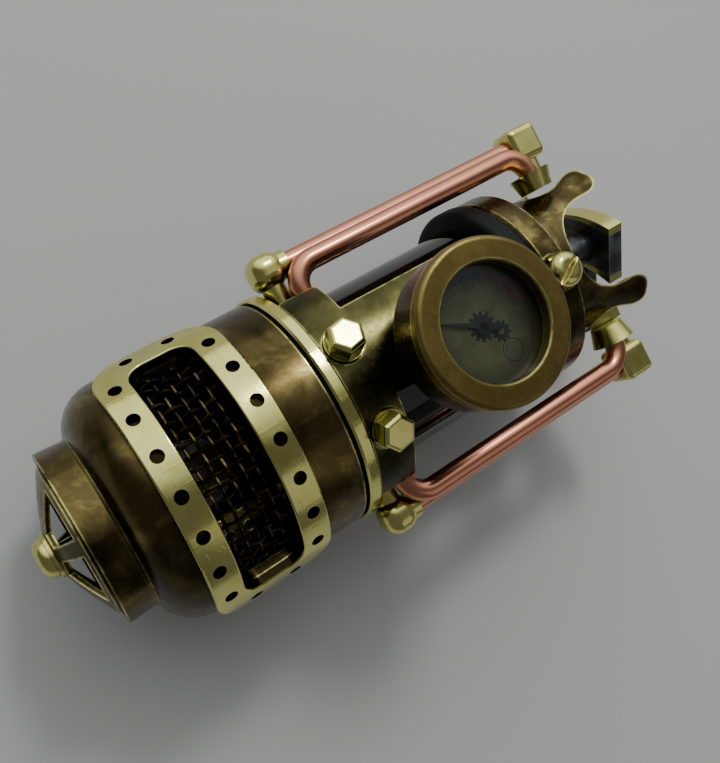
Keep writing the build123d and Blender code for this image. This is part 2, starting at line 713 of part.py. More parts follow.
# ---------------------------------------------------------------- rails, one set on each side
for side, name in ((1, "left"), (-1, "right")):
    rail_end_station = block_station - block_size / 2 + block_seat
    with BuildPart() as rear_rail:
        with BuildSketch(Plane(
            (at(ball_station + rail_seat), side * rear_rail_y, axis_height + rear_rail_z),
            x_dir=(0, 1, 0), z_dir=(1, 0, 0),
        )):
            Circle(rail_r)
            Circle(rail_bore_r, mode=Mode.SUBTRACT)
        extrude(amount=rail_end_station - ball_station - rail_seat)
    pieces[f"rear_rail_{name}"] = rear_rail

    with BuildPart() as ball_elbow:
        with Locations((at(ball_station), side * rear_rail_y, axis_height + rear_rail_z)):
            Box(ball_size, ball_size, ball_size)
        fillet(ball_elbow.edges(), ball_round)
        with BuildSketch(Plane(
            (at(ball_station), side * rear_rail_y, axis_height + rear_rail_z),
            x_dir=(0, 1, 0), z_dir=(1, 0, 0),
        )):
            Circle(ball_collar_r)
        extrude(amount=ball_collar_reach)
        with BuildSketch(facing_side(ball_station, side, rear_rail_y, rear_rail_z)):
            Circle(ball_stem_r)
        extrude(amount=collar_r - 2 - rear_rail_y)
        with BuildSketch(crosswise(ball_station - 5)):
            Circle(collar_r)
        extrude(amount=10, mode=Mode.SUBTRACT)
        with BuildSketch(Plane(
            (at(ball_station + rail_seat), side * rear_rail_y, axis_height + rear_rail_z),
            x_dir=(0, 1, 0), z_dir=(1, 0, 0),
        )):
            Circle(rail_r)
        extrude(amount=5, mode=Mode.SUBTRACT)
    pieces[f"ball_elbow_{name}"] = ball_elbow

    with BuildPart() as front_rail:
        with BuildLine():
            FilletPolyline(
                (at(front_rail_start), side * (collar_r - 1.4), axis_height + front_rail_z),
                (at(front_rail_start), side * front_rail_y, axis_height + front_rail_z),
                (at(front_rail_end), side * front_rail_y, axis_height + front_rail_z),
                (at(front_rail_end), side * (bracket_top + 0.8), axis_height + front_rail_z),
                radius=rail_bend_r,
            )
        with BuildSketch(facing_side(front_rail_start, side, collar_r - 1.4, front_rail_z)):
            Circle(rail_r)
        sweep()
        with BuildSketch(crosswise(front_rail_start - 5)):
            Circle(collar_r)
        extrude(amount=10, mode=Mode.SUBTRACT)
    pieces[f"front_rail_{name}"] = front_rail

    with BuildPart() as block_elbow:
        with Locations((at(block_station), side * rear_rail_y, axis_height + rear_rail_z)):
            Box(block_size, block_size, block_size)
        fillet(block_elbow.edges(), 0.9)
        with BuildSketch(Plane(
            (at(rail_end_station), side * rear_rail_y, axis_height + rear_rail_z),
            x_dir=(0, 1, 0), z_dir=(1, 0, 0),
        )):
            Circle(rail_r)
        extrude(amount=-5, mode=Mode.SUBTRACT)
    pieces[f"block_elbow_{name}"] = block_elbow

    with BuildPart() as rail_bracket:
        with BuildSketch(facing_side(valley_station, side, hub_r - 1.4, 0)):
            with Locations((front_rail_end - valley_station, front_rail_z)):
                Circle(bracket_end_r)
            with Locations((block_station - valley_station, rear_rail_z)):
                Circle(bracket_end_r)
            with Locations((hub_end - bracket_end_r - valley_station, rear_rail_z)):
                Circle(bracket_end_r)
            make_hull()
            Circle(valley_r - bracket_inset, mode=Mode.INTERSECT)
        extrude(amount=bracket_top - hub_r + 1.4)
        with BuildSketch(facing_side(block_station, side, bracket_top, rear_rail_z)):
            Circle(block_stem_r)
        extrude(amount=rear_rail_y - block_size / 2 - bracket_top)
        with BuildSketch(facing_side(front_rail_end, side, bracket_top, front_rail_z)):
            Circle(socket_r * 0.75)
        with BuildSketch(facing_side(front_rail_end, side, socket_top, front_rail_z)):
            Circle(socket_r)
        loft()
        with BuildSketch(facing_side(front_rail_end, side, socket_top, front_rail_z)):
            Circle(rail_r)
        extrude(amount=bracket_top + 0.8 - socket_top, mode=Mode.SUBTRACT)
        with BuildSketch(crosswise(hub_end - 10)):
            Circle(hub_r)
        extrude(amount=10, mode=Mode.SUBTRACT)
    pieces[f"rail_bracket_{name}"] = rail_bracket

# ---------------------------------------------------------------- burner
cheek_offset = spark_wheel_width / 2 + thumb_wheel_width + 2 * wheel_gap + cheek_thickness / 2
wheel_centre = (at(wheel_station), 0)
side_plane = Plane((0, 0, axis_height), x_dir=(1, 0, 0), z_dir=(0, 0, 1))
with BuildPart() as wheel_yoke:
    for side in (-1, 1):
        with BuildSketch(side_plane.offset(side * cheek_offset)):
            with Locations(wheel_centre):
                Circle(cheek_half_width)
            with BuildLine():
                Polyline(
                    (at(wheel_station), -cheek_half_width), (at(deck_start), -cheek_half_width - 1),
                    (at(deck_start), cheek_half_width + 1), (at(wheel_station), cheek_half_width),
                    close=True,
                )
            make_face()
            with Locations(wheel_centre):
                Circle(axle_r, mode=Mode.SUBTRACT)
        extrude(amount=cheek_thickness / 2, both=True)
    with BuildSketch(crosswise(deck_start)):
        Rectangle(2 * cheek_half_width + 2, 2 * cheek_offset + cheek_thickness)
        Circle(flint_tube_r, mode=Mode.SUBTRACT)
    extrude(amount=-yoke_foot)
pieces["wheel_yoke"] = wheel_yoke

axle_half = cheek_offset + cheek_thickness / 2 + 0.5
with BuildPart() as wheel_axle:
    with BuildSketch(side_plane.offset(-axle_half)):
        with Locations(wheel_centre):
            Circle(axle_r)
    extrude(amount=2 * axle_half)
    chamfer(wheel_axle.edges(), 0.2)
pieces["wheel_axle"] = wheel_axle

with BuildPart() as spark_wheel:
    with BuildSketch(side_plane.offset(-spark_wheel_width / 2)):
        with Locations(wheel_centre):
            Circle(spark_wheel_r)
            with PolarLocations(spark_wheel_r, spark_teeth):
                Rectangle(2 * spark_groove_depth, spark_groove_width, mode=Mode.SUBTRACT)
            Circle(axle_r + spin_fit, mode=Mode.SUBTRACT)
    extrude(amount=spark_wheel_width)
pieces["spark_wheel"] = spark_wheel

with BuildPart() as thumb_wheels:
    for side in (-1, 1):
        with BuildSketch(side_plane.offset(side * spark_wheel_width / 2)):
            with Locations(wheel_centre):
                Circle(thumb_wheel_r)
                with PolarLocations(thumb_wheel_r, 2 * spark_teeth):
                    Rectangle(2 * knurl_depth, knurl_width, mode=Mode.SUBTRACT)
                Circle(axle_r + spin_fit, mode=Mode.SUBTRACT)
        extrude(amount=side * thumb_wheel_width)
pieces["thumb_wheels"] = thumb_wheels

flint_start = wheel_station + spark_wheel_r + flint_gap
flint_tube_start = wheel_station + thumb_wheel_r + thumb_wheel_gap
pieces["flint_tube"] = ring(flint_tube_start, thread_start, flint_tube_bore_r, flint_tube_r)
pieces["flint"] = ring(flint_start, flint_start + flint_length, 0, flint_r)
follower_start = flint_start + flint_length
spring_start = follower_start + follower_length
pieces["flint_follower"] = ring(follower_start, spring_start, 0, flint_r)

shank_start = thread_start - plug_shank_length
spring_length = shank_start - spring_start - 2 * spring_wire_r
with BuildPart() as flint_spring:
    coil_r = flint_r - spring_wire_r
    with BuildLine() as coil:
        Helix(
            spring_pitch, spring_length, coil_r,
            center=(at(spring_start + spring_wire_r), 0, axis_height), direction=(1, 0, 0),
        )
    with BuildSketch(Plane(coil.line @ 0, z_dir=coil.line % 0)):
        Circle(spring_wire_r)
    sweep()
pieces["flint_spring"] = flint_spring

with BuildPart() as wick_tube:
    with BuildSketch(crosswise(wick_start + 2)):
        with Locations((wick_offset, 0)):
            Circle(wick_tube_r)
            Circle(wick_r, mode=Mode.SUBTRACT)
    extrude(amount=flange_end + plug_depth - wick_start - 2)
pieces["wick_tube"] = wick_tube

with BuildPart() as wick:
    with BuildSketch(crosswise(wick_start)):
        with Locations((wick_offset, 0)):
            Circle(wick_r)
    extrude(amount=wick_end - wick_start)
pieces["wick"] = wick

with BuildPart() as chimney:
    with BuildSketch(crosswise(chimney_start)):
        with Locations((wick_offset, 0)):
            Circle(chimney_r)
            Circle(chimney_r - chimney_wall, mode=Mode.SUBTRACT)
    extrude(amount=deck_start - chimney_start)
    for row in range(chimney_hole_rows):
        for turn in range(0, 180, 45):
            hole_plane = Plane(
                (at(chimney_start + chimney_hole_pitch * (row + 0.9)), wick_offset, axis_height),
                x_dir=(1, 0, 0), z_dir=(0, cos(radians(turn)), sin(radians(turn))),
            )
            with BuildSketch(hole_plane):
                Circle(chimney_hole_r)
            extrude(amount=chimney_r + 1, both=True, mode=Mode.SUBTRACT)
pieces["chimney"] = chimney

# ---------------------------------------------------------------- flint plug
with BuildPart() as flint_plug:
    with BuildSketch(crosswise(shank_start)):
        Circle(plug_shank_r)
    extrude(amount=thread_start - shank_start)
    with BuildSketch(crosswise(thread_start)):
        Circle(plug_thread_r)
    extrude(amount=hub_end - thread_start)
    with BuildSketch(crosswise(hub_end)):
        Circle(plug_head_r)
        with PolarLocations(plug_head_r, 24):
            Rectangle(0.5, 0.5, rotation=45, mode=Mode.SUBTRACT)
        with Locations((0, -filler_screw_offset)):
            Circle(filler_screw_r + 1.1, mode=Mode.SUBTRACT)
    extrude(amount=plug_head_end - hub_end)
    with BuildSketch(crosswise(plug_head_end)):
        Circle(plug_neck_r)
    extrude(amount=plate_station - plug_head_end)
pieces["flint_plug"] = flint_plug

half_length, half_width = plate_length / 2, plate_width / 2
rod_plane = Plane(
    (at(plate_station + plate_thickness / 2), 0, axis_height), x_dir=(1, 0, 0),
    z_dir=(0, -cos(radians(plug_turn)), -sin(radians(plug_turn))),
)
with BuildPart() as cross_rod:
    with BuildSketch(rod_plane.offset(-cross_rod_start)):
        Circle(cross_rod_r)
    extrude(amount=cross_rod_reach + cross_rod_start)
    chamfer(cross_rod.edges().sort_by(Axis.Y)[0], 0.2)
pieces["cross_rod"] = cross_rod

with BuildPart() as plug_plate:
    with BuildSketch(crosswise(plate_station, plug_turn)):
        with BuildLine():
            for edge_x in (-half_width, half_width):
                ThreePointArc(
                    (edge_x, -half_length), (edge_x + plate_bow, 0), (edge_x, half_length)
                )
            for edge_y in (-half_length, half_length):
                Line((-half_width, edge_y), (half_width, edge_y))
        make_face()
    extrude(amount=plate_thickness)
    add(cross_rod.part, mode=Mode.SUBTRACT)
pieces["plug_plate"] = plug_plate

with BuildPart() as plug_grips:
    for side in (-1, 1):
        edge_x = side * half_width
        middle_x = edge_x + plate_bow
        with BuildSketch(crosswise(plate_station, plug_turn)):
            with BuildLine():
                ThreePointArc((edge_x, -half_length), (middle_x, 0), (edge_x, half_length))
                Line((edge_x, half_length), (edge_x + side * grip_thick, half_length))
                ThreePointArc(
                    (edge_x + side * grip_thick, half_length),
                    (middle_x + side * (grip_thin + grip_thick) / 2, 0),
                    (edge_x + side * grip_thin, -half_length),
                )
                Line((edge_x + side * grip_thin, -half_length), (edge_x, -half_length))
            make_face()
        extrude(amount=plate_thickness)
    add(cross_rod.part, mode=Mode.SUBTRACT)
pieces["plug_grips"] = plug_grips

# ---------------------------------------------------------------- export
os.makedirs("parts", exist_ok=True)
for name, piece in pieces.items():
    piece.part.label = name
    export_step(piece.part, f"parts/{name}.step")
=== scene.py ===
"""Dresses the frame of a lantern-shaped flint lighter: patina, polish, woven gauze and a dial."""

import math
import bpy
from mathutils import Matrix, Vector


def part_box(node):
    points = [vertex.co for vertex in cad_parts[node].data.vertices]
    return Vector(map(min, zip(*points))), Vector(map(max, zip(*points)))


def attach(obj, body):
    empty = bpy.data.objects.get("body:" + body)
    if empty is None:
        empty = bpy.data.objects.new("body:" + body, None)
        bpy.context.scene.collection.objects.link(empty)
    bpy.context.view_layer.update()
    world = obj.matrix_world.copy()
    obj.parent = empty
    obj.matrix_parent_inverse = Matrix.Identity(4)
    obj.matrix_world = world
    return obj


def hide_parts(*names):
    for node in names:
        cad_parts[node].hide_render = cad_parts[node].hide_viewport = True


bl_info = {
    "name": "Lantern Lighter",
    "version": (1, 0, 0),
    "blender": (4, 5, 0),
    "location": "3D View > Sidebar > Lighter",
    "description": "Gives the lighter's frame its patina, gauze, dial and stage",
    "category": "Object",
}

import bmesh
import bpy
from bpy.props import FloatProperty, FloatVectorProperty, IntProperty, PointerProperty
from mathutils import Matrix, Vector

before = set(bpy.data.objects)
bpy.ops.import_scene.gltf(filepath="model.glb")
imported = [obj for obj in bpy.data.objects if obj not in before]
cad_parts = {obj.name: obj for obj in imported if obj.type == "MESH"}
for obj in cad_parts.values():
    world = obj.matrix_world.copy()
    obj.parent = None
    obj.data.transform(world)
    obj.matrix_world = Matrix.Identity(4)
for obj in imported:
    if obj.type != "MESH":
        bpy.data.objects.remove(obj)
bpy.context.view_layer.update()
mm = 0.001


# ---------------------------------------------------------------- what the frame says
def middle_of(node):
    """Centre of a frame node's box."""
    low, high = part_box(node)
    return (low + high) / 2


axis_height = middle_of("tank_glass").z
dial_centre = middle_of("gauge_dial")
dial_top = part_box("gauge_dial")[1].z
gauze_low, gauze_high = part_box("gauze")
gauze_outer_r = gauze_high.z - axis_height
frame_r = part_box("window_frame")[1].z - axis_height
flange_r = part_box("neck_flange")[1].z - axis_height
sharp_angle = math.radians(35)


def colour(name, text, default):
    """A colour that the panel shows."""
    return FloatVectorProperty(
        name=name, description=text, default=default, subtype="COLOR", size=3, min=0, max=1
    )


def length(name, text, default):
    """A length in metres that the panel shows."""
    return FloatProperty(name=name, description=text, default=default, unit="LENGTH", precision=5)


def angle(name, text, default):
    """An angle that the panel shows, given here in degrees."""
    return FloatProperty(
        name=name, description=text, default=math.radians(default), subtype="ANGLE"
    )


# ---------------------------------------------------------------- settings
class LighterFinish(bpy.types.PropertyGroup):
    """Colours of the metals and of what else the lighter is made of."""

    # Darkest patina in the hollows, and also the painted shade on inward-facing faces and inside the cap.
    dark_patina_and_shade: colour("Patina", "Darkest patina, in the hollows", (0.020, 0.014, 0.006))
    patina_brown: colour("Brown patina", "Patina on the open surfaces", (0.115, 0.084, 0.030))
    patina_gold: colour("Worn patina", "Where handling has thinned the patina", (0.34, 0.27, 0.09))
    olive: colour("Olive patina", "Greenish patina of the saddle", (0.085, 0.080, 0.028))
    bezel: colour("Bezel patina", "Even brown of the gauge's ring", (0.24, 0.172, 0.052))
    brass: colour("Polished brass", "Frame, bolts, elbows and worn edges", (0.78, 0.75, 0.26))
    brass_grime: colour("Brass grime", "Dirt left in the brass's corners", (0.045, 0.032, 0.010))
    copper: colour("Copper", "Rails", (0.68, 0.29, 0.18))
    copper_dark: colour("Tarnished copper", "Hollows along the rails", (0.16, 0.045, 0.022))
    steel: colour("Steel", "Wheels, plug and spring", (0.20, 0.20, 0.21))
    rubber: colour("Rubber", "Seals and the ring", (0.006, 0.006, 0.006))
    cotton: colour("Cotton", "Wick", (0.72, 0.66, 0.52))
    paper: colour("Dial paper", "Ground of the dial", (0.165, 0.170, 0.070))
    tank_tint: colour("Tank tint", "Smoke colour of the tank's glass", (0.035, 0.038, 0.036))
    wear_width: length("Wear width", "How far the worn edges reach", 0.45 * mm)


class LighterGauze(bpy.types.PropertyGroup):
    """Woven wire behind the window."""

    pitch: length("Pitch", "From one wire to the next", 1.45 * mm)
    wire_r: length("Wire radius", "Half of the wire's thickness", 0.21 * mm)
    samples: IntProperty(name="Samples", description="Points for each crossing", default=6, min=3)


class LighterWick(bpy.types.PropertyGroup):
    """Braided cotton wick."""

    strands: IntProperty(name="Strands", description="Strands that wind each way", default=5, min=3)
    lay: length("Lay", "Length of one turn of a strand", 6.5 * mm)
    strand_r: length("Strand radius", "Half of a strand's thickness", 0.30 * mm)
    samples: IntProperty(name="Samples", description="Points for each crossing", default=4, min=3)


class LighterDial(bpy.types.PropertyGroup):
    """Print on the gauge's dial."""

    scale_r: length("Scale radius", "Middle of the scale's band", 5.9 * mm)
    band: length("Band", "Width of the coloured band", 0.9 * mm)
    cold: colour("Cold sector", "Start of the scale", (0.035, 0.075, 0.085))
    mild: colour("Middle sector", "Middle of the scale", (0.030, 0.022, 0.045))
    hot: colour("Hot sector", "End of the scale", (0.11, 0.012, 0.012))
    ink: colour("Ink", "Wheels and marks", (0.006, 0.005, 0.009))
    marks: IntProperty(name="Marks", description="Marks along the scale", default=25, min=5)


class LighterStage(bpy.types.PropertyGroup):
    """Floor, lights and camera."""

    floor: colour("Floor", "Pale table", (0.62, 0.62, 0.60))
    room_dark: colour("Dark of the room", "What the metal mirrors from the unlit side", (0.07, 0.07, 0.068))
    room_light: colour("Light of the room", "Pale wall and window side", (0.80, 0.84, 0.86))
    room_power: FloatProperty(name="Room light", description="Strength of the room", default=1.62)
    key_power: FloatProperty(name="Key", description="Window light", default=0.45, unit="POWER")
    fill_power: FloatProperty(name="Fill", description="Other side", default=0.06, unit="POWER")
    lens: FloatProperty(name="Lens", description="Focal length on a 36 mm frame", default=40.46)
    distance: length("Distance", "From the camera to what it looks at", 113.08 * mm)
    bearing: angle("Bearing", "Way the camera looks, turned from +X towards +Y", -13.33)
    dip: angle("Dip", "How far the camera looks down", 67.61)
    roll: angle("Roll", "Turn of the camera about its own line", 74.02)


# ---------------------------------------------------------------- shader helpers
def add(tree, kind, inputs=None, **settings):
    """New node: a socket given as an input is linked, a plain value is set."""
    made = tree.nodes.new(kind)
    for name, value in settings.items():
        setattr(made, name, value)
    for name, value in (inputs or {}).items():
        if isinstance(value, bpy.types.NodeSocket):
            tree.links.new(value, made.inputs[name])
        else:
            made.inputs[name].default_value = value
    return made


def maths(tree, operation, first, second, clamp=False):
    """Result of one sum on two numbers or sockets."""
    made = add(tree, "ShaderNodeMath", {0: first, 1: second}, operation=operation)
    made.use_clamp = clamp
    return made.outputs[0]


def scaled(tree, value, factor, offset):
    """A value times a factor, plus an offset."""
    made = add(
        tree, "ShaderNodeMath", {0: value, 1: factor, 2: offset}, operation="MULTIPLY_ADD"
    )
    return made.outputs[0]


def ramp(tree, value, low, high):
    """Smooth step of a value between two levels."""
    made = add(
        tree, "ShaderNodeMapRange", {"Value": value, "From Min": low, "From Max": high},
        interpolation_type="SMOOTHSTEP",
    )
    return made.outputs["Result"]


def mixed(tree, share, first, second):
    """Blend of two colours."""
    made = add(tree, "ShaderNodeMix", data_type="RGBA")
    ends = {"A": first, "B": second}
    for socket in made.inputs:
        if socket.type == "RGBA" and socket.name in ends:
            value = ends[socket.name]
            if isinstance(value, bpy.types.NodeSocket):
                tree.links.new(value, socket)
            else:
                socket.default_value = (*value, 1)
    tree.links.new(share, made.inputs["Factor"])
    return next(socket for socket in made.outputs if socket.type == "RGBA")


def noise(tree, place, scale, detail=3.0, roughness=0.55, distortion=0.0):
    """Noise of a given fineness, in cells for each metre."""
    made = add(
        tree, "ShaderNodeTexNoise",
        {
            "Vector": place, "Scale": scale, "Detail": detail, "Roughness": roughness,
            "Distortion": distortion,
        },
    )
    return made.outputs["Fac"]


def own_place(tree):
    """Place on the piece, in metres."""
    return add(tree, "ShaderNodeTexCoord").outputs["Object"]


def new_group(name, sockets):
    """Empty shader group: sockets are (name, direction, kind, default)."""
    group = bpy.data.node_groups.new(name, "ShaderNodeTree")
    for title, way, kind, default in sockets:
        made = group.interface.new_socket(name=title, in_out=way, socket_type=kind)
        if way == "INPUT" and default is not None:
            made.default_value = default
    entry = group.nodes.new("NodeGroupInput")
    leave = group.nodes.new("NodeGroupOutput")
    return group, entry.outputs, leave.inputs


def use(tree, group_name, inputs=None):
    """Places a shader group in a material and returns its outputs."""
    group = bpy.data.node_groups[group_name]
    return add(tree, "ShaderNodeGroup", inputs, node_tree=group).outputs


def start_material(name):
    """New material with one Principled shader."""
    material = bpy.data.materials.new(name)
    material.use_nodes = True
    tree = material.node_tree
    shader = tree.nodes["Principled BSDF"]
    return material, tree, shader


# ---------------------------------------------------------------- shared effects
def edge_wear_group():
    """Mask of the edges that stand proud, broken up as handling breaks them up."""
    group, given, result = new_group("Edge wear", [
        ("Width", "INPUT", "NodeSocketFloat", 0.4 * mm),
        ("Gain", "INPUT", "NodeSocketFloat", 6.0),
        ("Mask", "OUTPUT", "NodeSocketFloat", None),
    ])
    rounded = add(group, "ShaderNodeBevel", {"Radius": given["Width"]}, samples=6)
    surface = add(group, "ShaderNodeNewGeometry")
    agree = add(
        group, "ShaderNodeVectorMath",
        {0: rounded.outputs["Normal"], 1: surface.outputs["Normal"]}, operation="DOT_PRODUCT",
    )
    sharp = maths(group, "SUBTRACT", 1.0, agree.outputs["Value"])
    shade = add(group, "ShaderNodeAmbientOcclusion", {"Distance": 1.2 * mm}, samples=6)
    proud = ramp(group, shade.outputs["AO"], 0.45, 0.75)
    rough = noise(group, own_place(group), 900, 4)
    broken = maths(group, "MULTIPLY", sharp, ramp(group, rough, 0.25, 0.6))
    strong = maths(group, "MULTIPLY", broken, given["Gain"])
    group.links.new(maths(group, "MULTIPLY", strong, proud, clamp=True), result["Mask"])


def hollow_group():
    """Mask of the hollows that hold dirt."""
    group, given, result = new_group("Hollow grime", [
        ("Reach", "INPUT", "NodeSocketFloat", 2.0 * mm),
        ("Mask", "OUTPUT", "NodeSocketFloat", None),
    ])
    shade = add(group, "ShaderNodeAmbientOcclusion", {"Distance": given["Reach"]}, samples=8)
    rough = noise(group, own_place(group), 700, 3)
    uneven = maths(group, "ADD", shade.outputs["AO"], maths(group, "MULTIPLY", rough, 0.35))
    open_share = ramp(group, uneven, 0.55, 1.0)
    group.links.new(maths(group, "SUBTRACT", 1.0, open_share), result["Mask"])


def mottle_group():
    """Blotches and specks of a chemical patina."""
    group, given, result = new_group("Mottle", [
        ("Fineness", "INPUT", "NodeSocketFloat", 170.0),
        ("Blotches", "OUTPUT", "NodeSocketFloat", None),
        ("Thin", "OUTPUT", "NodeSocketFloat", None),
        ("Specks", "OUTPUT", "NodeSocketFloat", None),
    ])
    place = own_place(group)
    large = noise(group, place, given["Fineness"], 4, 0.5, 0.3)
    group.links.new(ramp(group, large, 0.34, 0.68), result["Blotches"])
    patches = noise(group, place, maths(group, "MULTIPLY", given["Fineness"], 2.3), 5, 0.6, 0.6)
    group.links.new(ramp(group, patches, 0.47, 0.70), result["Thin"])
    fine = noise(group, place, maths(group, "MULTIPLY", given["Fineness"], 12.0), 3, 0.6)
    group.links.new(ramp(group, fine, 0.42, 0.72), result["Specks"])


def scratch_group():
    """Fine scratches in two directions."""
    group, given, result = new_group("Scratches", [
        ("Fineness", "INPUT", "NodeSocketFloat", 900.0),
        ("Height", "OUTPUT", "NodeSocketFloat", None),
    ])
    place = own_place(group)
    heights = []
    for turn, squeeze in ((0.5, (0.06, 1.0, 1.0)), (-0.9, (1.0, 0.08, 1.0))):
        turned = add(
            group, "ShaderNodeMapping",
            {"Vector": place, "Rotation": (0.3, 0.2, turn), "Scale": squeeze},
        )
        lines = noise(group, turned.outputs["Vector"], given["Fineness"], 2, 0.5)
        heights.append(ramp(group, lines, 0.60, 0.68))
    group.links.new(maths(group, "MAXIMUM", *heights), result["Height"])


def axis_group():
    """Distance from the lighter's own axis, and a mask of the faces that look inwards."""
    group, _, result = new_group("From axis", [
        ("Radius", "OUTPUT", "NodeSocketFloat", None),
        ("Inside", "OUTPUT", "NodeSocketFloat", None),
    ])
    away = add(
        group, "ShaderNodeVectorMath", {0: own_place(group), 1: (0, 0, -axis_height)},
        operation="ADD",
    )
    across = add(
        group, "ShaderNodeVectorMath", {0: away.outputs["Vector"], 1: (0, 1, 1)},
        operation="MULTIPLY",
    ).outputs["Vector"]
    radius = add(group, "ShaderNodeVectorMath", {0: across}, operation="LENGTH")
    group.links.new(radius.outputs["Value"], result["Radius"])
    outward = add(group, "ShaderNodeVectorMath", {0: across}, operation="NORMALIZE")
    surface = add(group, "ShaderNodeNewGeometry")
    agree = add(
        group, "ShaderNodeVectorMath",
        {0: outward.outputs["Vector"], 1: surface.outputs["True Normal"]},
        operation="DOT_PRODUCT",
    )
    group.links.new(ramp(group, agree.outputs["Value"], -0.2, -0.5), result["Inside"])


def bumped(tree, shader, height, strength, distance):
    """Feeds a height to a shader's normal."""
    bump = add(
        tree, "ShaderNodeBump", {"Height": height, "Strength": strength, "Distance": distance}
    )
    tree.links.new(bump.outputs["Normal"], shader.inputs["Normal"])


# ---------------------------------------------------------------- metals
def patinated_brass(name, finish, brown, dark=0.6, wear=1.0, fineness=110.0, gold=0.5, blotch=1.0,
                    matt=0.24):
    """Brass with a dark mottled patina, rubbed bright along its edges, and painted black as shade on its
    faces that look inwards.
    """
    material, tree, shader = start_material(name)
    mottle = use(tree, "Mottle", {"Fineness": fineness})
    hollow = use(tree, "Hollow grime", {"Reach": 2.2 * mm})["Mask"]
    edge = use(tree, "Edge wear", {"Width": finish.wear_width, "Gain": 7.0 * wear})["Mask"]
    painted_inner_shade = use(tree, "From axis")["Inside"]
    cloud = maths(tree, "MULTIPLY", mottle["Blotches"], blotch)
    shadow = [channel * (1 - 0.75 * blotch) for channel in brown]
    ground = mixed(tree, mottle["Blotches"], shadow, brown)
    thin = maths(tree, "MULTIPLY", maths(tree, "MULTIPLY", mottle["Thin"], cloud), gold)
    rubbed = mixed(tree, thin, ground, finish.patina_gold)
    dirty = mixed(tree, maths(tree, "MULTIPLY", hollow, dark), rubbed, finish.dark_patina_and_shade)
    worn = mixed(tree, edge, dirty, finish.brass)
    # Painted shade: faces that look in towards the axis take the darkest patina colour, standing in for the
    # shade inside the lighter.
    tree.links.new(mixed(tree, painted_inner_shade, worn, finish.dark_patina_and_shade), shader.inputs["Base Color"])
    shader.inputs["Metallic"].default_value = 1.0
    speckled = scaled(tree, mottle["Specks"], 0.10, matt)
    polished = maths(tree, "SUBTRACT", speckled, maths(tree, "MULTIPLY", edge, 0.08))
    rough = maths(tree, "MAXIMUM", polished, maths(tree, "MULTIPLY", painted_inner_shade, 0.6))
    tree.links.new(rough, shader.inputs["Roughness"])
    bumped(tree, shader, mottle["Specks"], 0.06, 0.02 * mm)
    return material


def polished_brass(name, finish, grime=0.9, roughness=0.14, reach=None, corners=1.1 * mm):
    """Bright brass with dirt in its corners and fine scratches; nearer the axis than reach it takes the
    darkest patina colour, which is painted shade on the flange's deck inside the cap.
    """
    material, tree, shader = start_material(name)
    mottle = use(tree, "Mottle", {"Fineness": 320.0})
    hollow = use(tree, "Hollow grime", {"Reach": corners})["Mask"]
    scratch = use(tree, "Scratches", {"Fineness": 1500.0})["Height"]
    wavy = noise(tree, own_place(tree), 230, 1)
    aged = [channel * share for channel, share in zip(finish.brass, (0.80, 0.74, 0.60))]
    bright = mixed(tree, maths(tree, "MULTIPLY", mottle["Blotches"], 0.6), finish.brass, aged)
    dirty = mixed(tree, maths(tree, "MULTIPLY", hollow, grime), bright, finish.brass_grime)
    # Nearer the axis than reach: patina on the window frame's inner faces, and painted shade on the
    # flange's deck inside the cap.
    if reach:
        radius = use(tree, "From axis")["Radius"]
        outer = ramp(tree, radius, reach - 0.25 * mm, reach)
        dirty = mixed(tree, outer, finish.dark_patina_and_shade, dirty)
    tree.links.new(dirty, shader.inputs["Base Color"])
    shader.inputs["Metallic"].default_value = 1.0
    tree.links.new(scaled(tree, mottle["Specks"], 0.07, roughness), shader.inputs["Roughness"])
    hand_rubbed = maths(tree, "ADD", maths(tree, "MULTIPLY", scratch, 0.06), wavy)
    bumped(tree, shader, hand_rubbed, 0.55, 0.12 * mm)
    return material


def copper_tube(name, finish):
    """Salmon copper, satin, drawn along the tube and tarnished in its hollows."""
    material, tree, shader = start_material(name)
    mottle = use(tree, "Mottle", {"Fineness": 200.0})
    hollow = use(tree, "Hollow grime", {"Reach": 1.4 * mm})["Mask"]
    drawn = add(tree, "ShaderNodeMapping", {"Vector": own_place(tree), "Scale": (0.03, 1, 1)})
    lines = noise(tree, drawn.outputs["Vector"], 2600, 2)
    pale = [min(1.0, channel * 1.10) for channel in finish.copper]
    base = mixed(tree, mottle["Blotches"], finish.copper, pale)
    dirty = mixed(tree, maths(tree, "MULTIPLY", hollow, 0.55), base, finish.copper_dark)
    tree.links.new(dirty, shader.inputs["Base Color"])
    shader.inputs["Metallic"].default_value = 1.0
    tree.links.new(scaled(tree, lines, 0.10, 0.20), shader.inputs["Roughness"])
    bumped(tree, shader, lines, 0.10, 0.01 * mm)
    return material


def dark_steel(name, finish, roughness=0.34):
    """Oiled steel, mottled, with fine specks and worn edges."""
    material, tree, shader = start_material(name)
    mottle = use(tree, "Mottle", {"Fineness": 400.0})
    edge = use(tree, "Edge wear", {"Width": 0.25 * mm, "Gain": 5.0})["Mask"]
    black = [channel * 0.35 for channel in finish.steel]
    bright = [min(1.0, channel * 2.4) for channel in finish.steel]
    base = mixed(tree, mottle["Blotches"], black, finish.steel)
    tree.links.new(mixed(tree, edge, base, bright), shader.inputs["Base Color"])
    shader.inputs["Metallic"].default_value = 1.0
    tree.links.new(scaled(tree, mottle["Specks"], 0.15, roughness), shader.inputs["Roughness"])
    bumped(tree, shader, mottle["Specks"], 0.15, 0.02 * mm)
    return material


